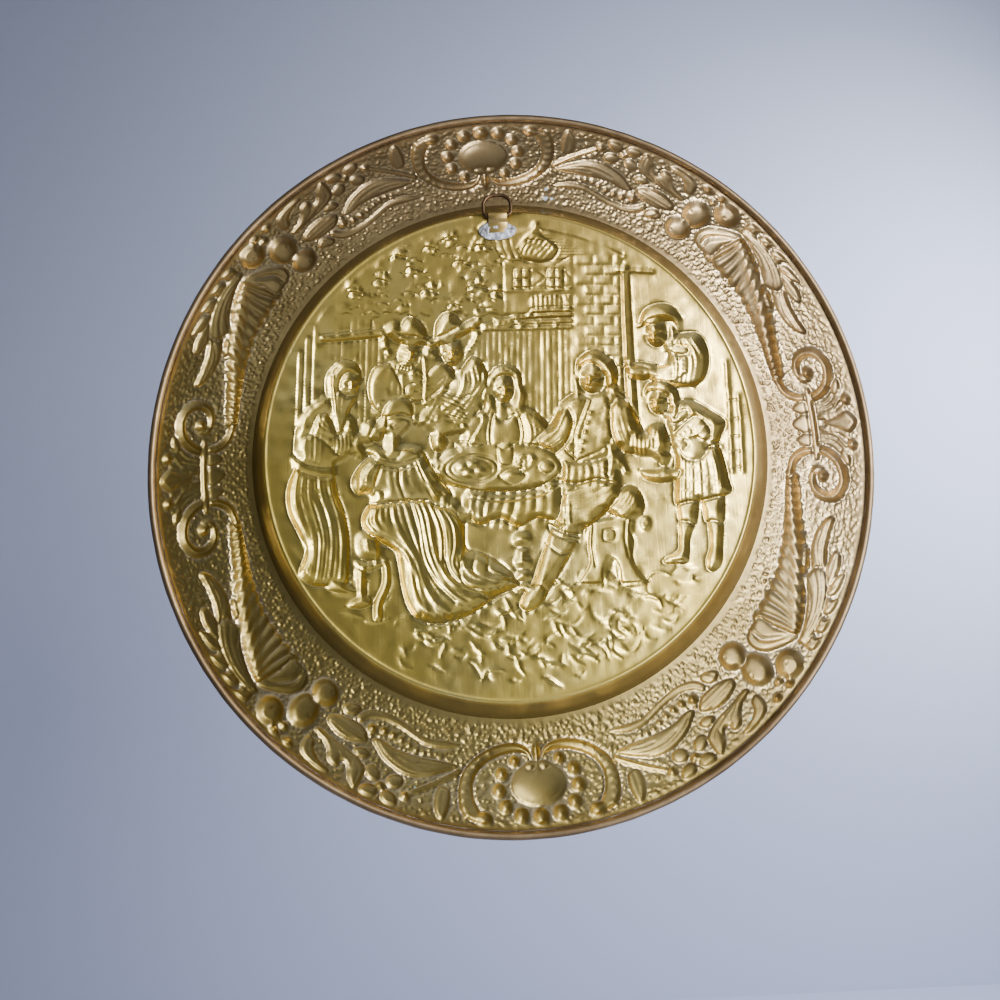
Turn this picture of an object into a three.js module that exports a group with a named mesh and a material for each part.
// A brass wall plate, pressed from one sheet: a deep round well with a tavern scene in relief, a broad
// sloping rim with horns of fruit, and a rolled edge. A folded strap on the back of the well holds the
// D-ring that it hangs by. Millimetres, +Z up, the front faces -Y and the wall is on the +Y side.
// The origin is where the nail bears, at the top of the inside of the D-ring.
import * as THREE from 'three';

// Driving dimensions of the plate
const plateRadius = 178;
const wellRadius = 112;
const mouthRadius = 122.5;
const wallHeight = 15.5;
const rimHeight = 12.5;
const rimCrown = 1.2;
const sheetThickness = 0.7;
const edgeWidth = 3.8;
const edgeHeight = 3.4;

// Driving dimensions of the hanger
const wireDiameter = 1.7;
const ringWidth = 14.8;
const ringHeight = 11.6;
const ringCornerRadius = 5.2;
const strapWidth = 8.8;
const strapLength = 10.4;
const strapThickness = 0.5;
const turningClearance = 0.25;
const seatGap = 0.3;
const foldSetback = 0.4;

// How far the pressed designs are turned from the hanger, clockwise as seen from the back
const sceneTurn = THREE.MathUtils.degToRad(2.8);
const rimTurn = THREE.MathUtils.degToRad(-2.2);

// The designs were drawn at these sizes, and are scaled to the plate
const drawnWellRadius = 112;
const drawnMouthRadius = 122.5;
const drawnEdgeRadius = 174;
const drawnMiddleRadius = 150;
const reliefDepth = 1;
const seamWidth = 0.5;

// How finely the faceted sheet is cut
const gridHalf = 128;
const wellRow = 80;
const mouthRow = 88;
const facesPerSide = 4000;
const netError = 0.12;
const softening = 1;
const borderWeight = 30;
const sceneWeight = 4;
const cheapShare = 0.3;
const slimmest = 0.02;
const edgeAngles = [0.8, 0.4, 0, -0.25, -0.5].map((turn) => turn * Math.PI);
const wireSides = 8;
const ringSteps = 36;
const foldSteps = 10;
const curveSteps = 5;

// Where things lie along the plate's axis, with the back towards the wall
const floorLevel = rimHeight + wallHeight;
const edgeInside = plateRadius - edgeWidth;
const wireRadius = wireDiameter / 2;
const foldInside = wireRadius + turningClearance;
const foldOutside = foldInside + strapThickness;
const hingeHeight = wellRadius - foldSetback - foldOutside;
const hingeLevel = floorLevel + seatGap + foldOutside;
const nailHeight = hingeHeight + ringHeight - wireRadius - wireDiameter;

const brass = { color: 0xb08d4a, roughness: 0.38, metalness: 1 };
const darkBrass = { color: 0x5b4632, roughness: 0.55, metalness: 0.9 };

// From the plate's own view of its back (right, up, towards the wall) to the part's frame
const place = (right, up, level) => new THREE.Vector3(-right, level - hingeLevel, up - nailHeight);

// RELIEF: shapes drawn on the metal, each over what lies under it

// A smooth line through a few points, whose third number is a half-width
function smoothLine(points, closed = false) {
  const knots = points.map(([x, y, width = 0]) => new THREE.Vector3(x, y, width));
  const curve = new THREE.CatmullRomCurve3(knots, closed, 'centripetal');
  return curve.getPoints((points.length - (closed ? 0 : 1)) * curveSteps);
}

// The nearest point of a line: how far it is, and the half-width there
function nearest(line, x, y) {
  let best = { distance: Infinity, width: 0 };
  for (let i = 0; i + 1 < line.length; i += 1) {
    const [a, b] = [line[i], line[i + 1]];
    const [dx, dy] = [b.x - a.x, b.y - a.y];
    const length = dx * dx + dy * dy;
    const t = length ? THREE.MathUtils.clamp(((x - a.x) * dx + (y - a.y) * dy) / length, 0, 1) : 0;
    const distance = Math.hypot(x - a.x - t * dx, y - a.y - t * dy);
    if (distance < best.distance) best = { distance, width: a.z + t * (b.z - a.z) };
  }
  return best;
}

function isInside(line, x, y) {
  let inside = false;
  for (let i = 0, j = line.length - 1; i < line.length; j = i, i += 1) {
    const [a, b] = [line[i], line[j]];
    if (a.y > y !== b.y > y && x < ((b.x - a.x) * (y - a.y)) / (b.y - a.y) + a.x) inside = !inside;
  }
  return inside;
}

// A drawing holds the points of the sheet, as [x, y], and the height pressed into each
class Drawing {
  constructor(points) {
    this.points = points;
    this.heights = points.map(() => 0);
  }

  // Calls change(x, y, height) for each point within reach of a line, and keeps what it returns
  near(line, reach, change) {
    const box = new THREE.Box2().setFromPoints(line).expandByScalar(reach);
    this.points.forEach(([x, y], i) => {
      if (x < box.min.x || x > box.max.x || y < box.min.y || y > box.max.y) return;
      this.heights[i] = change(x, y, this.heights[i]);
    });
  }

  // A rounded bar along a line of [x, y, halfWidth], rising to height over a base
  stroke(base, height, points) {
    const line = smoothLine(points);
    const widest = Math.max(...points.map((p) => p[2]));
    this.near(line, widest, (x, y, old) => {
      const { distance, width } = nearest(line, x, y);
      if (distance >= width) return old;
      return base + height * Math.sqrt(1 - (distance / width) ** 2);
    });
  }

  // A ridge, or with a depth below zero a groove, that follows what lies under it
  ridge(height, points) {
    const line = smoothLine(points);
    const widest = Math.max(...points.map((p) => p[2]));
    this.near(line, widest, (x, y, old) => {
      const { distance, width } = nearest(line, x, y);
      return distance < width ? old + height * (1 - (distance / width) ** 2) : old;
    });
  }

  // A closed outline, rounded over a width of edge all the way round
  patch(base, height, edge, points) {
    const line = smoothLine(points, true);
    this.near(line, 0, (x, y, old) => {
      if (!isInside(line, x, y)) return old;
      const depth = Math.min(1, nearest(line, x, y).distance / edge);
      return base + height * Math.sqrt(1 - (1 - depth) ** 2);
    });
  }

  dome(base, height, x, y, radiusX, radiusY = radiusX) {
    const lowest = new THREE.Vector2(x - radiusX, y - radiusY);
    const corners = [lowest, new THREE.Vector2(x + radiusX, y + radiusY)];
    this.near(corners, 0, (px, py, old) => {
      const share = ((px - x) / radiusX) ** 2 + ((py - y) / radiusY) ** 2;
      return share < 1 ? base + height * Math.sqrt(1 - share) : old;
    });
  }

  // Folds that run side by side from one edge line to the other, which have as many points
  folds(height, count, first, last) {
    for (let i = 0; i < count; i += 1) {
      const t = (i + 0.5) / count;
      this.ridge(height, first.map(([x, y], k) => {
        const [x2, y2] = last[k];
        return [x + t * (x2 - x), y + t * (y2 - y), Math.hypot(x2 - x, y2 - y) / (2 * count)];
      }));
    }
  }
}

// SCENE, right and up from the middle of the well as seen from the back

function drawBackground(d) {
  const leafRows = 3;
  for (let row = 0; row < leafRows; row += 1) {
    const radius = 102 - row * 13;
    for (let angle = 96 + row * 2; angle < 146 - row * 6; angle += 9) {
      const turn = THREE.MathUtils.degToRad(angle);
      d.dome(0.3, 1.4, radius * Math.cos(turn), radius * Math.sin(turn), 7);
    }
  }
  d.patch(0.3, 1, 2, [[-4, 88], [4, 98], [12, 104], [32, 100], [50, 92], [50, 87], [24, 87]]);
  d.patch(0.2, 0.9, 2, [[0, 87], [29, 87], [29, 64], [0, 64]]);
  for (const x of [3, 18]) d.patch(-0.2, 0.3, 1, [[x, 83], [x + 8, 83], [x + 8, 75], [x, 75]]);
  d.patch(0.3, 1, 2, [[30, 90], [52, 84], [52, 45], [49, 20], [30, 20]]);
  d.stroke(0.5, 1.6, [[54, 83, 2.6], [54.5, 40, 2.6], [55, 2, 2.6]]);
  for (const rise of [0, 4, 8]) {
    d.stroke(0.4, 1.2, [[-12, 53 + rise, 1.5], [12, 55 + rise, 1.5], [36, 56 + rise, 1.5]]);
  }
  d.stroke(0.4, 1.2, [[-88, 51, 1.6], [-74, 53, 1.6], [-60, 54, 1.6]]);
  for (const x of [-96, -91]) d.stroke(0.4, 1.2, [[x, 46, 1.8], [x + 1, 8, 1.8]]);
  d.patch(0.5, 1.2, 3, [[4, 95], [12, 104], [23, 94], [17, 87], [8, 88]]);
}

function drawStandingWoman(d) {
  const left = [[-96, -10], [-99, -20], [-96, -32], [-92, -45], [-94, -57]];
  const right = [[-78, -10], [-76, -20], [-74, -32], [-72, -45], [-74, -59]];
  d.patch(1.4, 2.6, 5, [...left, [-86, -61], ...right.toReversed()]);
  d.folds(1.1, 6, left, right);
  d.patch(1.8, 3, 5, [[-77, 10], [-84, 18], [-92, 21], [-96, 14],
    [-98, 0], [-97, -9], [-82, -12], [-76, -4]]);
  d.stroke(1.2, 2.4, [[-84, 30, 4], [-85, 20, 5], [-79, 9, 2.5]]);
  d.dome(1.8, 3.4, -75.5, 29.5, 8.5, 10);
  d.dome(3.6, 2.4, -73.5, 28.5, 5, 6.5);
  d.stroke(2.4, 3, [[-90, 14, 5], [-87, 4, 5.5], [-81, -4, 4.5]]);
  d.stroke(2.8, 2.8, [[-83, -4, 4.4], [-74, -2, 4], [-67, 0.5, 3]]);
  d.stroke(1.2, 2, [[-83, -62, 2.6], [-78, -64, 3]]);
  d.stroke(1.2, 2, [[-73, -62, 2.6], [-68, -65, 3]]);
}

function drawSeatedMan(d) {
  d.stroke(1, 2, [[-66, -48, 2.4], [-65.5, -66, 2]]);
  d.stroke(1, 2, [[-55, -48, 2.6], [-54, -62, 2.2], [-58, -78, 2]]);
  d.stroke(1.6, 3, [[-67, -36, 5], [-58, -46, 5]]);
  d.patch(1.6, 2.8, 6, [[-61, -25], [-66, -35], [-52, -47], [-48, -62], [-42, -75], [-34, -78],
    [-20, -73], [-9, -66], [7, -65], [2, -58], [-16, -45], [-20, -34], [-38, -24]]);
  d.folds(1.2, 8, [[-58, -26], [-60, -36], [-49, -52], [-44, -74]],
    [[-38, -25], [-26, -38], [-12, -52], [5, -63]]);
  d.patch(2.2, 3.2, 6, [[-56, 0], [-66, -5], [-71, -13], [-68, -24],
    [-52, -28], [-37, -26], [-31, -19], [-36, -5], [-45, 1]]);
  d.stroke(3, 2.8, [[-66, -6, 4.4], [-70, -14, 4.6], [-65, -22, 4]]);
  d.stroke(3, 2.8, [[-40, -2, 5.4], [-33, -14, 5.2], [-25, -21, 4.6], [-18, -33, 4]]);
  d.stroke(3.4, 2, [[-64, -2, 2], [-52, -7, 2.6], [-41, -2, 2]]);
  d.stroke(3, 2, [[-69, 5, 3.2], [-60, 3, 2.8]]);
  d.dome(2.6, 3.2, -51, 11, 6.6, 8);
  d.dome(3.6, 2.6, -51.5, 16, 7.6, 5.6);
}

function drawMusicians(d) {
  d.patch(1.4, 2.8, 4, [[-63, 40], [-56, 44], [-40, 44], [-34, 34], [-36, 16], [-50, 16], [-62, 16]]);
  d.patch(1.4, 2.8, 4, [[-30, 42], [-18, 42], [-10, 38], [-10, 26], [-18, 18], [-32, 14], [-36, 26]]);
  d.stroke(2.2, 2.8, [[-60, 39, 4.6], [-60.5, 29, 5.4], [-57, 21, 4.4]]);
  d.stroke(2.4, 2.6, [[-13, 38, 4.6], [-17, 27, 4.6], [-27, 21, 4.2]]);
  for (const [x, y] of [[-47.5, 46], [-26.5, 47]]) {
    d.dome(2.2, 3, x, y, 5.2, 7);
    d.stroke(3, 2, [[x - 9, y + 8, 1.8], [x, y + 5.5, 3], [x + 10, y + 5, 1.8]]);
    d.dome(3.2, 2.4, x + 1, y + 10, 6.6, 5);
  }
  d.stroke(3, 1.8, [[-58, 15, 1.6], [-47, 31, 1.6]]);
  d.patch(2.8, 1.8, 3, [[-47, 29], [-38, 32], [-30, 39], [-25, 35], [-29, 28], [-38, 24]]);
  d.dome(3.2, 1.8, -45, 35, 3.4, 2.8);
  d.dome(3.2, 1.8, -34, 18.5, 3.2, 2.8);
}

function drawFacingWoman(d) {
  d.patch(1.2, 2.4, 4, [[-14, 26], [-10, 37], [0, 41], [9, 35],
    [10, 24], [14, 12], [8, -2], [-12, -2], [-17, 10]]);
  d.folds(0.8, 3, [[-13, 18], [-16, 6], [-12, -1]], [[-6, 15], [-6, 6], [-5, -1]]);
  d.folds(0.8, 3, [[3, 15], [4, 6], [3, -1]], [[12, 18], [13, 6], [8, -1]]);
  d.dome(2.6, 3.2, -1.5, 28, 6.6, 8.2);
  d.stroke(2.4, 2, [[-20, -3, 1.6], [-21, 2, 2.8], [-21, 9, 3.6]]);
  d.stroke(1.4, 1.8, [[-31, -10, 3], [-32, -5, 1.4]]);
  d.dome(1.4, 2.6, -32.5, 1, 4, 4.4);
}

function drawTable(d) {
  d.stroke(0.8, 1.8, [[6, -34, 2.4], [6, -60, 2]]);
  for (const [y, size] of [[-42, 4.6], [-51, 4], [-58, 3]]) d.dome(1, 2.2, 6, y, size, size * 0.8);
  const left = [[-26, -14], [-20, -26], [-17, -34]];
  const right = [[23, -10], [22, -22], [18, -33]];
  d.patch(1.4, 2.2, 4, [...left, [0, -36], ...right.toReversed()]);
  d.folds(1, 8, left, right);
  d.dome(2.6, 1.2, -3, -11, 27, 9);
  d.dome(3, 0.9, -18, -10.5, 12, 4.4);
  for (const x of [-24, -17, -10]) d.dome(3.2, 1.7, x, -10, 2.9);
  d.dome(3, 0.9, 2, -13.5, 5.4, 3.2);
  d.dome(3, 1.8, -1.5, -5, 3.4);
  d.dome(3, 1.8, 17, -9.5, 3.4);
}

function drawSeatedManRight(d) {
  const seatLeft = [[36, -38], [33, -48], [35, -53], [31, -61]];
  const seatRight = [[57, -33], [57, -44], [56, -51], [61, -61]];
  d.patch(1, 2.2, 3, [...seatLeft, ...seatRight.toReversed()]);
  d.patch(0.6, 0.4, 2, [[43, -61], [42.5, -54], [46, -50], [49.5, -54], [49, -61]]);
  d.patch(1.6, 2.8, 5, [[30, -4], [50, -3], [58, -12], [59, -26], [50, -36], [38, -32], [28, -20]]);
  d.stroke(1.6, 3, [[30, -30, 7], [25, -38, 5.6], [19, -54, 4.6], [12, -67, 4]]);
  d.stroke(1.6, 2.2, [[12, -67, 4], [6, -72, 3.2], [2, -73, 2.6]]);
  d.stroke(2.6, 3.2, [[48, -17, 7], [37, -24, 7.4], [27, -32, 6.6]]);
  d.patch(2, 3.4, 6, [[26, 16], [34, 22], [48, 24], [56, 18], [56, 4], [47, -5], [31, -7], [25, 4]]);
  d.stroke(2.8, 2.8, [[27, 17, 4.6], [19, 8, 4.4], [10, -4, 3.6]]);
  d.stroke(2.8, 2.8, [[52, 18, 5], [58, 9, 5.2], [63, -3, 4.4]]);
  d.dome(2.8, 1.8, 66, -8, 3.6);
  d.dome(2.8, 1.8, 9, -7, 4, 3.2);
  d.dome(2.2, 3.4, 40, 33, 8.6, 10.6);
  d.dome(3.8, 2.4, 40.5, 31.5, 6, 8);
}

function drawBoys(d) {
  d.patch(1.4, 2.8, 4, [[68, 46], [80, 50], [91, 45], [92, 32], [88, 22], [72, 26], [66, 36]]);
  d.stroke(2.4, 2.6, [[80, 48, 5], [86, 40, 5.2], [78, 35, 4]]);
  d.dome(2, 3.2, 70.5, 53, 5.6, 6.6);
  d.stroke(3, 2.4, [[61, 57, 2], [69, 60, 4.4], [78, 61, 3]]);
  d.dome(2.4, 2, 61, 34.5, 7.2, 3.8);
  d.stroke(1.2, 2.4, [[80, -28, 4], [81, -38, 3], [80, -48, 2.8], [73, -51, 2.4]]);
  d.stroke(1.2, 2.4, [[92, -28, 4], [93, -38, 3], [92, -49, 3], [90, -53, 3.2]]);
  const left = [[77, 0], [76, -12], [74, -26]];
  const right = [[94, 2], [98, -10], [101, -23]];
  d.patch(1.6, 2.6, 4, [...left, [88, -28], ...right.toReversed()]);
  d.folds(1, 7, left, right);
  d.patch(1.8, 2.8, 4, [[72, 14], [78, 20], [88, 20], [98, 11], [97, 3], [86, -2], [74, 2]]);
  d.stroke(2.6, 2.6, [[93, 12, 4.6], [90, 4, 4.6], [82, 4, 3.6]]);
  d.dome(2.4, 3, 69.5, 21.5, 7.4, 7);
  d.dome(2.8, 2.4, 84, -1, 5.8);
  d.stroke(1.2, 1.8, [[70, -12, 3], [70, -7, 1.4], [70, -3, 2.8]]);
  d.dome(1.2, 1.8, 68, -13.5, 9, 3.2);
}

// RIM, drawn once from a cartouche to a palmette: degrees along, and millimetres from the middle

const alongScale = THREE.MathUtils.degToRad(drawnMiddleRadius);
const along = (points) => points.map(([degrees, radius, ...rest]) => [degrees * alongScale, radius, ...rest]);

function drawCartouche(d) {
  const beads = [[0, 168.3, 4.5], [3.3, 167.7, 4.3], [5.6, 163, 3.9],
    [6.9, 156, 4.2], [6.6, 148.5, 3.8], [4.2, 142, 3.6]];
  d.stroke(0.6, 2.4, along([[1, 141, 1.4], [2, 135, 1.8], [5, 132.8, 2],
    [9, 135, 2.2], [12.4, 143, 2.4], [13.6, 154, 2.6],
    [13.2, 164, 2.6], [11, 171, 2.4], [8.6, 171.5, 2]]));
  d.stroke(0.6, 1.8, along([[3, 139, 1.2], [6, 138.5, 1.4], [9.4, 144, 1.4],
    [11, 154, 1.4], [10.6, 163, 1.3], [9.4, 167, 1.2]]));
  for (const [degrees, radius, size] of beads) d.dome(0.4, 3.4, degrees * alongScale, radius, size);
  d.dome(1, 1.6, 0, 152.3, 5.2 * alongScale, 11.2);
  d.dome(0.8, 3.2, 0, 152.3, 4.5 * alongScale, 9.6);
  d.dome(0.4, 2, 1.3 * alongScale, 144, 2.3);
  d.dome(0.4, 2, 0, 134.5, 3.2, 3.8);
}

function drawSprays(d) {
  d.stroke(0.4, 2, along([[14, 148, 0.8], [15.4, 156, 3], [16, 165, 3], [15.2, 173, 0.8]]));
  d.stroke(0.4, 1.2, along([[14, 147, 1], [17, 154, 1], [21, 163, 1]]));
  d.dome(0.4, 1.6, 21.6 * alongScale, 166, 2.2);
  for (const [degrees, radius] of [[24, 169.5], [27.6, 169.5], [23.8, 160.5], [27.8, 160.5]]) {
    d.dome(0.4, 1.8, degrees * alongScale, radius, 4.2);
  }
  d.dome(1, 1.8, 25.8 * alongScale, 165, 2.4);
  d.stroke(0.4, 2.2, along([[14, 145, 1], [18, 152, 2.6], [23, 153, 3], [28, 148, 2.2], [29.5, 145.5, 1]]));
  d.stroke(0.4, 1.8, along([[15, 138, 1], [19, 141.5, 2.2], [24, 139, 3], [30, 137, 3], [34, 141, 1.4]]));
  for (let bead = 0; bead < 9; bead += 1) {
    const share = bead / 8;
    const radius = 142.5 + 2 * Math.sin(share * Math.PI) - share * 2;
    d.dome(1, 1.6, (16.5 + share * 13) * alongScale, radius, 1.1 + share * 0.7);
  }
  d.stroke(0.4, 2.2, along([[29.6, 171, 1], [30.4, 164, 3], [34, 158, 2.6], [39, 156, 1]]));
  d.stroke(0.4, 2, along([[33.4, 167, 1], [35.4, 163, 2.4], [38, 159, 1.4]]));
  d.stroke(0.4, 1.6, along([[34, 171, 1], [37, 170, 2], [39, 167, 1]]));
  d.stroke(0.4, 2.2, along([[31, 150, 1], [34.6, 149.5, 3.2], [38, 147, 1]]));
  d.stroke(0.4, 1.6, along([[35, 138, 1], [36.4, 140.5, 2.4], [37.6, 143, 1]]));
}

function drawHorn(d) {
  const mouthLines = 3;
  d.patch(0.6, 1.6, 3, along([[45, 138], [44.6, 147], [47.5, 155], [52, 160],
    [57, 156], [62, 150.5], [68, 144.5],
    [74, 139.5], [79, 137], [79, 133], [70, 134], [60, 136.5], [52, 137]]));
  for (let line = 0; line < mouthLines; line += 1) {
    d.stroke(1.2, 1.6, along([[45 + line * 1.1, 139.5, 1], [45 + line * 1.1, 147, 1],
      [47.6 + line * 0.7, 154, 1], [52, 160, 0.8]]));
  }
  const flutes = 12;
  for (let flute = 0; flute < flutes; flute += 1) {
    const share = flute / (flutes - 1);
    const foot = 50.2 + 27 * share;
    const head = 52.4 + 25 * share ** 1.2;
    const headRadius = 158.5 - 21.5 * share ** 0.9;
    const footRadius = 140 - 4.6 * share;
    d.stroke(1.2, 2.4 - share, along([[foot, footRadius, 3.2 - 1.8 * share],
      [(foot + head) / 2, (footRadius + headRadius) / 2,
      2.6 - 1.3 * share], [head, headRadius, 1.1]]));
  }
  d.stroke(0.8, 2.8, along([[77, 135, 1.8], [81, 135, 2.2], [84.6, 141, 2.6],
    [85.4, 150, 2.8], [83.4, 160, 2.8], [80, 164, 2.6],
    [76.6, 159, 2.4], [76, 151, 2.2], [78, 145.5, 2], [80.6, 146, 1.8]]));
  d.dome(0.8, 3, 80 * alongScale, 151, 3.4);
}

function drawFruit(d) {
  for (const [degrees, radius, size] of [[45, 170.5, 2.7], [42.2, 170.5, 2.7], [43.8, 165.8, 2.6]]) {
    d.dome(0.4, 2.4, degrees * alongScale, radius, size);
  }
  d.dome(0.6, 3.6, 48 * alongScale, 165, 7);
  d.dome(0.6, 4.2, 43 * alongScale, 154, 7.6);
  d.dome(0.6, 4, 41.8 * alongScale, 139.5, 7.4);
}

function drawBranch(d) {
  const tips = [[54, 171.5], [58, 171.5], [62.5, 171.5], [67, 170.5], [70.5, 162]];
  for (const [degrees, radius] of tips) {
    d.stroke(0.5, 1.6, along([[degrees - 3.5, radius - 9, 2.4],
      [degrees - 1.5, radius - 4, 2.8], [degrees, radius, 0.9]]));
  }
  for (const degrees of [58, 62, 66.5]) {
    d.stroke(0.8, 1.6, along([[degrees - 3, 170.5 - degrees * 0.15, 2.2],
      [degrees - 1, 166 - degrees * 0.18, 2.2],
      [degrees, 187 - degrees * 0.6, 0.9]]));
  }
  d.stroke(0.6, 2, along([[51, 164, 1], [58, 163.5, 2], [64, 159, 2.4], [70, 154, 4.2], [76, 159, 1]]));
}

function drawPalmette(d) {
  d.dome(0.4, 1.8, 90 * alongScale, 141.5, 4.6, 5.4);
  d.dome(0.4, 1.6, 86.6 * alongScale, 142.5, 3.8, 4.6);
  const ribs = 4;
  for (let rib = 0; rib < ribs; rib += 1) {
    const spread = rib / ribs;
    d.stroke(0.5, 1.6, along([[89.6 - spread * 3, 150, 1], [89 - spread * 4, 158, 1.3],
      [88.4 - spread * 6, 167 - spread * 4, 1.2]]));
  }
  d.stroke(0.6, 2, along([[90, 150, 1.2], [90, 160, 2.6], [90, 171, 1.4]]));
  d.dome(0.6, 2.2, 86.6 * alongScale, 168.5, 2.9);
  d.stroke(0.6, 2.2, along([[85.4, 148.3, 1.7], [90, 148.3, 1.7], [95, 148.3, 1.7]]));
}

// SHEET: both faces of the pressed plate share one net of triangles

// The back of the plain sheet, before any relief
function sheetLevel(radius) {
  if (radius <= wellRadius) return floorLevel;
  if (radius <= mouthRadius) {
    return THREE.MathUtils.mapLinear(radius, wellRadius, mouthRadius, floorLevel, rimHeight);
  }
  const share = (radius - mouthRadius) / (edgeInside - mouthRadius);
  return rimHeight * (1 - share) + rimCrown * Math.sin(Math.PI * share);
}

// Rows of the square net are circles on the plate, and whole rows lie on its creases
function rowRadius(row) {
  const { mapLinear } = THREE.MathUtils;
  if (row <= wellRow) return mapLinear(row, 0, wellRow, 0, wellRadius);
  if (row <= mouthRow) return mapLinear(row, wellRow, mouthRow, wellRadius, mouthRadius);
  return mapLinear(row, mouthRow, gridHalf, mouthRadius, edgeInside);
}

// Each corner of the net as [angle, radius] on the plate
function netCorner(column, line) {
  const [x, y] = [column - gridHalf, line - gridHalf];
  const row = Math.max(Math.abs(x), Math.abs(y));
  if (row === 0) return [0, 0];
  const eighth = Math.PI / 4;
  const angle = Math.abs(x) >= Math.abs(y)
    ? eighth * (y / x) + (x < 0 ? Math.PI : 0)
    : 2 * eighth - eighth * (x / y) + (y < 0 ? Math.PI : 0);
  return [angle, rowRadius(row)];
}

// The press rounds off what is finer than the net, by averaging each height with its neighbours'
function soften(heights, side) {
  let softer = heights;
  for (let round = 0; round < softening; round += 1) {
    const old = softer;
    softer = old.map((height, i) => {
      const around = [i - 1, i + 1, i - side, i + side].map((j) => old[j] ?? 0);
      return (2 * height + around.reduce((sum, h) => sum + h, 0)) / (around.length + 2);
    });
  }
  return softer;
}

function pressRelief(corners, side) {
  const heights = corners.map(() => 0);
  const scene = corners.map((_, i) => i).filter((i) => corners[i][1] < wellRadius);
  const sceneDrawing = new Drawing(scene.map((i) => {
    const [angle, radius] = corners[i];
    const drawn = (radius * drawnWellRadius) / wellRadius;
    return [drawn * Math.cos(angle + sceneTurn), drawn * Math.sin(angle + sceneTurn)];
  }));
  const figures = [drawBackground, drawMusicians, drawFacingWoman, drawStandingWoman, drawBoys,
    drawSeatedManRight, drawTable, drawSeatedMan];
  figures.forEach((draw) => draw(sceneDrawing));
  scene.forEach((i, k) => { heights[i] = sceneDrawing.heights[k]; });

  const onRim = (radius) => radius > mouthRadius && radius < edgeInside;
  const rim = corners.map((_, i) => i).filter((i) => onRim(corners[i][1]));
  const rimDrawing = new Drawing(rim.map((i) => {
    const [angle, radius] = corners[i];
    const fromTop = Math.PI / 2 - angle - rimTurn;
    const quarter = Math.asin(Math.abs(Math.sin(fromTop)));
    const share = (radius - mouthRadius) / (edgeInside - mouthRadius);
    const drawn = THREE.MathUtils.lerp(drawnMouthRadius, drawnEdgeRadius, share);
    return [quarter * drawnMiddleRadius, drawn];
  }));
  const ornament = [drawSprays, drawCartouche, drawBranch, drawHorn, drawFruit, drawPalmette];
  ornament.forEach((draw) => draw(rimDrawing));
  rim.forEach((i, k) => { heights[i] = rimDrawing.heights[k]; });
  return soften(heights, side).map((height, i) => {
    const radius = corners[i][1];
    const onWall = radius > wellRadius - seamWidth && radius < mouthRadius + seamWidth;
    return onWall || radius > edgeInside - seamWidth ? 0 : height;
  });
}

// How far each corner of the net lies from the straight edge that leaves it out, with all finer ones
function netErrors(points, side) {
  const errors = new Float64Array(points.length);
  const at = (x, y) => y * side + x;
  const note = (x, y, ax, ay, finer) => {
    const middle = points[at(ax, ay)].clone().add(points[at(2 * x - ax, 2 * y - ay)]).multiplyScalar(0.5);
    let error = middle.distanceTo(points[at(x, y)]);
    for (const [dx, dy] of finer) {
      const [fx, fy] = [x + dx, y + dy];
      if (fx >= 0 && fy >= 0 && fx < side && fy < side) error = Math.max(error, errors[at(fx, fy)]);
    }
    errors[at(x, y)] = error;
  };
  for (let step = 1; step < side - 1; step *= 2) {
    const half = step / 2;
    const corners = step > 1 ? [[half, half], [half, -half], [-half, half], [-half, -half]] : [];
    for (let y = 0; y < side; y += step) {
      for (let x = 0; x < side; x += step) {
        const [oddX, oddY] = [(x / step) % 2, (y / step) % 2];
        if (oddX + oddY === 1) note(x, y, x - step * oddX, y - step * oddY, corners);
      }
    }
    for (let y = step; y < side; y += 2 * step) {
      for (let x = step; x < side; x += 2 * step) {
        const leaning = ((x - step + y - step) / (2 * step)) % 2 ? -1 : 1;
        note(x, y, x - step, y - step * leaning, [[step, 0], [-step, 0], [0, step], [0, -step]]);
      }
    }
  }
  return errors;
}

// The triangles of the net, split where the error is over the limit
function netTriangles(errors, side) {
  const last = side - 1;
  const found = [];
  const split = (ax, ay, bx, by, cx, cy) => {
    const [mx, my] = [(ax + bx) / 2, (ay + by) / 2];
    if (Math.abs(ax - cx) + Math.abs(ay - cy) > 1 && errors[my * side + mx] > netError) {
      split(cx, cy, ax, ay, mx, my);
      split(bx, by, cx, cy, mx, my);
    } else found.push([ay * side + ax, by * side + bx, cy * side + cx]);
  };
  split(0, 0, last, last, last, 0);
  split(last, last, 0, 0, 0, last);
  return found;
}

// The sum of squared distances to a plane, as a function of place, kept as ten numbers
function planeSum(normal, point, weight) {
  const [a, b, c, d] = [normal.x, normal.y, normal.z, -normal.dot(point)];
  const squares = [a * a, 2 * a * b, 2 * a * c, 2 * a * d, b * b, 2 * b * c, 2 * b * d, c * c, 2 * c * d, d * d];
  return squares.map((value) => value * weight);
}

function sumAt(sum, { x, y, z }) {
  const terms = [x * x, x * y, x * z, x, y * y, y * z, y, z * z, z, 1];
  return terms.reduce((total, term, k) => total + term * sum[k], 0);
}

// A face's area as seen along the plate's axis, which stays above zero
const planArea = (a, b, c) => ((b.x - a.x) * (c.z - a.z) - (c.x - a.x) * (b.z - a.z)) / 2;

// How the faces lie round each corner, and how many faces share each edge
function readFaces(faces) {
  const around = new Map();
  const edges = new Map();
  for (const face of faces) {
    face.forEach((corner, k) => {
      if (!around.has(corner)) around.set(corner, []);
      around.get(corner).push(face);
      const [a, b] = [corner, face[(k + 1) % 3]];
      const key = `${Math.min(a, b)} ${Math.max(a, b)}`;
      edges.set(key, { a, b, faces: (edges.get(key)?.faces ?? 0) + 1 });
    });
  }
  return { around, edges: [...edges.values()] };
}

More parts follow.
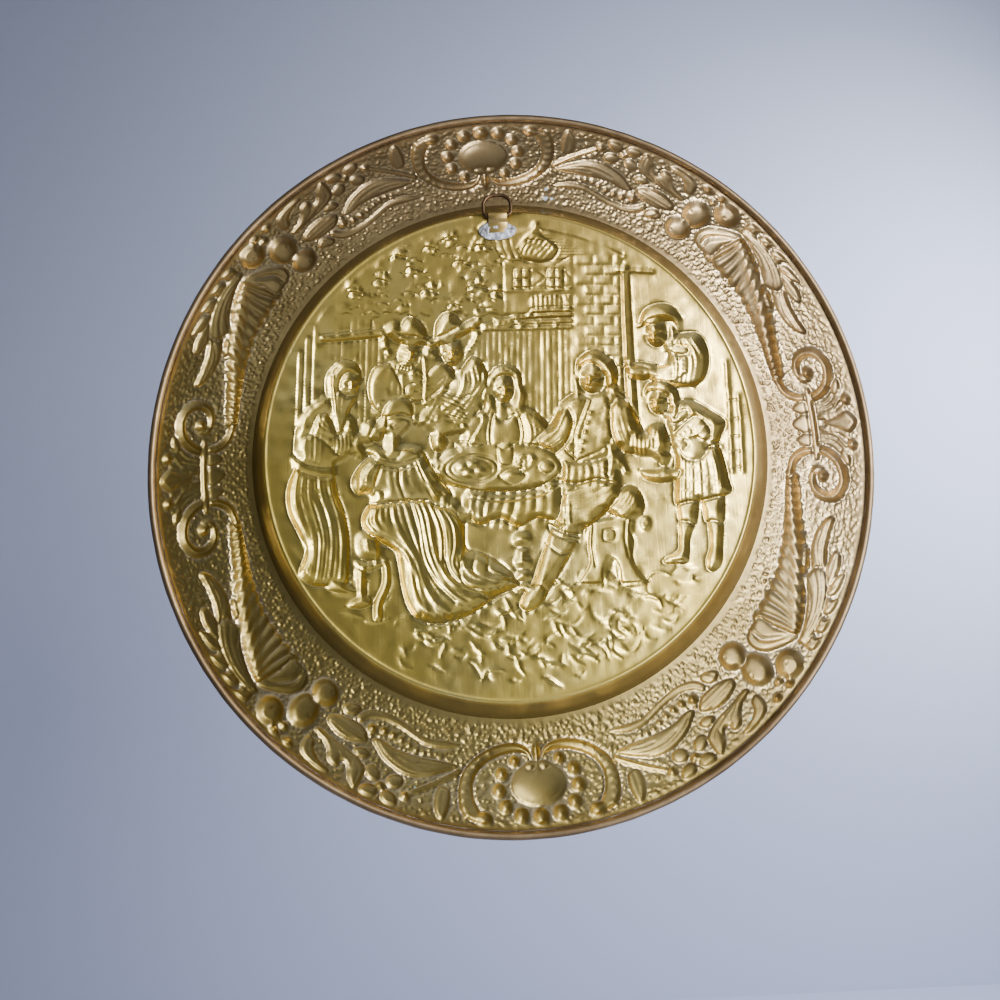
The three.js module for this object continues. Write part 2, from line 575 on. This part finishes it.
// What the surface loses when a corner moves: its own faces' planes, and upright planes on the border
function startingSums(points, faces, weigh) {
  const sums = new Map();
  const add = (corner, sum) => sums.set(corner, sum.map((v, k) => v + (sums.get(corner)?.[k] ?? 0)));
  for (const face of faces) {
    const [a, b, c] = face.map((i) => points[i]);
    const normal = b.clone().sub(a).cross(c.clone().sub(a));
    const area = normal.length() / 2;
    const sum = planeSum(normal.normalize(), a, area * weigh(a));
    face.forEach((corner) => add(corner, sum));
  }
  for (const edge of readFaces(faces).edges.filter((e) => e.faces === 1)) {
    const along = points[edge.b].clone().sub(points[edge.a]);
    const upright = new THREE.Vector3(-along.z, 0, along.x);
    const sum = planeSum(upright.normalize(), points[edge.a], along.lengthSq() * borderWeight);
    [edge.a, edge.b].forEach((corner) => add(corner, sum));
  }
  return sums;
}

// Draws corners of the net together where the surface loses least, until few enough faces are left
function thin(points, triangles, weigh, held) {
  let faces = triangles;
  const sums = startingSums(points, faces, weigh);
  for (;;) {
    const { around, edges } = readFaces(faces);
    const border = new Set(edges.filter((e) => e.faces === 1).flatMap((e) => [e.a, e.b]));
    const moves = [];
    for (const edge of edges) {
      for (const [from, to] of [[edge.a, edge.b], [edge.b, edge.a]]) {
        if (held.includes(from) || (border.has(from) && edge.faces !== 1)) continue;
        const length = points[from].distanceToSquared(points[to]);
        const cost = sumAt(sums.get(from), points[to]) + sumAt(sums.get(to), points[to]) + slimmest * length;
        moves.push({ from, to, cost, shared: edge.faces });
      }
    }
    moves.sort((a, b) => a.cost - b.cost);
    const touched = new Set();
    const goes = new Map();
    let spare = faces.length - facesPerSide;
    for (const { from, to, shared } of moves.slice(0, Math.ceil(moves.length * cheapShare))) {
      if (spare <= 0) break;
      if (touched.has(from) || touched.has(to)) continue;
      const near = new Set(around.get(from).flat());
      const common = [...new Set(around.get(to).flat())].filter((i) => near.has(i) && i !== from && i !== to);
      if (common.length !== shared) continue;
      const turned = around.get(from).some((face) => {
        if (face.includes(to)) return false;
        const [a, b, c] = face.map((i) => points[i === from ? to : i]);
        const longest = Math.max(a.distanceToSquared(b), b.distanceToSquared(c), c.distanceToSquared(a));
        return planArea(a, b, c) * Math.sign(planArea(...face.map((i) => points[i]))) < slimmest * longest;
      });
      if (turned) continue;
      goes.set(from, to);
      sums.set(to, sums.get(to).map((v, k) => v + sums.get(from)[k]));
      near.forEach((i) => touched.add(i));
      spare -= shared;
    }
    if (!goes.size) return faces;
    faces = faces.map((face) => face.map((i) => goes.get(i) ?? i));
    faces = faces.filter(([a, b, c]) => a !== b && b !== c && c !== a);
  }
}

function makeSheet() {
  const side = 2 * gridHalf + 1;
  const corners = Array.from({ length: side ** 2 }, (_, i) => netCorner(i % side, Math.floor(i / side)));
  const relief = pressRelief(corners, side);
  const rightUp = ([angle, radius]) => [radius * Math.cos(angle), radius * Math.sin(angle)];
  const back = corners.map((corner, i) => {
    const level = sheetLevel(corner[1]) - reliefDepth * relief[i];
    return place(...rightUp(corner), level);
  });
  const errors = netErrors(back, side);
  const weigh = (point) => (point.y > -hingeLevel + rimHeight ? sceneWeight : 1);
  // The outermost corners to each side stay, so that the plate keeps its full width and height
  const last = side - 1;
  const held = [[0, gridHalf], [last, gridHalf], [gridHalf, 0], [gridHalf, last]].map(([x, y]) => y * side + x);
  const triangles = thin(back, netTriangles(errors, side), weigh, held);

  // The outer corners in order round the edge
  const used = new Set(triangles.flat());
  const outer = [...used].filter((i) => corners[i][1] >= edgeInside - sheetThickness / 100);
  const turn = (i) => (corners[i][0] + 2 * Math.PI) % (2 * Math.PI);
  outer.sort((a, b) => turn(a) - turn(b));

  const vertices = [];
  const add = (point) => vertices.push(point) - 1;
  const backIndex = new Map([...used].map((i) => [i, add(back[i])]));
  const through = new THREE.Vector3(0, -sheetThickness, 0);
  const frontIndex = new Map([...used].map((i) => [i, add(back[i].clone().add(through))]));
  const faces = triangles.flatMap(([a, b, c]) => [
    [backIndex.get(a), backIndex.get(c), backIndex.get(b)],
    [frontIndex.get(a), frontIndex.get(b), frontIndex.get(c)]]);

  // The rolled edge: an arch of metal from the back face over to the front face
  const middle = edgeInside + edgeWidth / 2;
  const centreLevel = edgeHeight / 2 - sheetThickness;
  const rings = [outer.map((i) => backIndex.get(i))];
  for (const angle of edgeAngles) {
    const radius = middle + (edgeWidth / 2) * Math.cos(angle);
    const level = centreLevel + (edgeHeight / 2) * Math.sin(angle);
    rings.push(outer.map((i) => add(place(...rightUp([corners[i][0], radius]), level))));
  }
  rings.push(outer.map((i) => frontIndex.get(i)));
  for (let k = 0; k + 1 < rings.length; k += 1) faces.push(...bandFaces(rings[k], rings[k + 1]));
  return solid(vertices, faces);
}

// Two triangles for each step between two closed rings of vertices
function bandFaces(ring, next) {
  return ring.flatMap((a, i) => {
    const j = (i + 1) % ring.length;
    return [[a, next[i], next[j]], [a, next[j], ring[j]]];
  });
}

// A closed geometry, with its faces turned outwards
function solid(vertices, faces) {
  const geometry = new THREE.BufferGeometry();
  const places = vertices.flatMap((vertex) => vertex.toArray());
  geometry.setAttribute('position', new THREE.Float32BufferAttribute(places, 3));
  const volumes = faces.map(([a, b, c]) => vertices[a].dot(vertices[b].clone().cross(vertices[c])));
  const volume = volumes.reduce((sum, part) => sum + part, 0);
  geometry.setIndex((volume < 0 ? faces.map(([a, b, c]) => [a, c, b]) : faces).flat());
  geometry.computeVertexNormals();
  return geometry;
}

// HANGER

// The ring's middle line: a straight bar, two short legs and an arch with rounded shoulders
function ringLine() {
  const halfWidth = ringWidth / 2 - wireRadius;
  const top = ringHeight - wireDiameter;
  const shoulder = Math.min(ringCornerRadius, halfWidth, top);
  const corner = Math.min(wireDiameter, shoulder / 2);
  const shape = new THREE.Shape();
  shape.moveTo(0, 0);
  shape.lineTo(halfWidth - corner, 0);
  shape.absarc(halfWidth - corner, corner, corner, -Math.PI / 2, 0);
  shape.absarc(halfWidth - shoulder, top - shoulder, shoulder, 0, Math.PI / 2);
  shape.absarc(shoulder - halfWidth, top - shoulder, shoulder, Math.PI / 2, Math.PI);
  shape.absarc(corner - halfWidth, corner, corner, Math.PI, 1.5 * Math.PI);
  shape.closePath();
  return shape.getSpacedPoints(ringSteps).slice(0, -1);
}

function makeRing() {
  const line = ringLine();
  const vertices = [];
  const rings = line.map((point, i) => {
    const ahead = line[(i + 1) % line.length];
    const behind = line[(i + line.length - 1) % line.length];
    const outwards = new THREE.Vector2(ahead.y - behind.y, behind.x - ahead.x).normalize();
    return Array.from({ length: wireSides }, (_, side) => {
      const angle = (2 * Math.PI * (side + 0.5)) / wireSides;
      const out = wireRadius * Math.cos(angle);
      const [x, y] = [point.x + outwards.x * out, point.y + outwards.y * out];
      return vertices.push(place(x, hingeHeight + y, hingeLevel + wireRadius * Math.sin(angle))) - 1;
    });
  });
  const faces = rings.flatMap((ring, i) => bandFaces(ring, rings[(i + 1) % rings.length]));
  return solid(vertices, faces);
}

// The strap's side view: a fold round the bar, and two leaves that lie on each other
function makeStrap() {
  const side = new THREE.Shape();
  const [foot, leafTop] = [-strapLength + foldOutside, -foldOutside + 2 * strapThickness];
  side.moveTo(foot, -foldOutside);
  side.absarc(0, 0, foldOutside, -Math.PI / 2, Math.PI / 2);
  side.lineTo(-foldOutside, foldOutside - strapThickness / 2);
  side.lineTo(-2 * foldOutside, leafTop);
  side.lineTo(foot, leafTop);
  side.closePath();
  const eye = new THREE.Path();
  eye.absarc(0, 0, foldInside, 0, 2 * Math.PI, true);
  side.holes.push(eye);
  const options = { depth: strapWidth, bevelEnabled: false, curveSegments: foldSteps };
  const geometry = new THREE.ExtrudeGeometry(side, options);
  // The side view's x runs up the plate and its y towards the wall
  const middle = place(0, hingeHeight, hingeLevel);
  const [right, up, out] = [[-1, 0, 0], [0, 0, 1], [0, 1, 0]].map((axis) => new THREE.Vector3(...axis));
  geometry.applyMatrix4(new THREE.Matrix4().makeBasis(up, out, right));
  geometry.translate(strapWidth / 2, middle.y, middle.z);
  return geometry;
}

function piece(name, geometry, look) {
  const mesh = new THREE.Mesh(geometry, new THREE.MeshStandardMaterial(look));
  mesh.name = name;
  return mesh;
}

const plate = new THREE.Group();
plate.add(piece('plate', makeSheet(), brass));
plate.add(piece('hanger_strap', makeStrap(), brass));
plate.add(piece('hanger_ring', makeRing(), darkBrass));

export default plate;
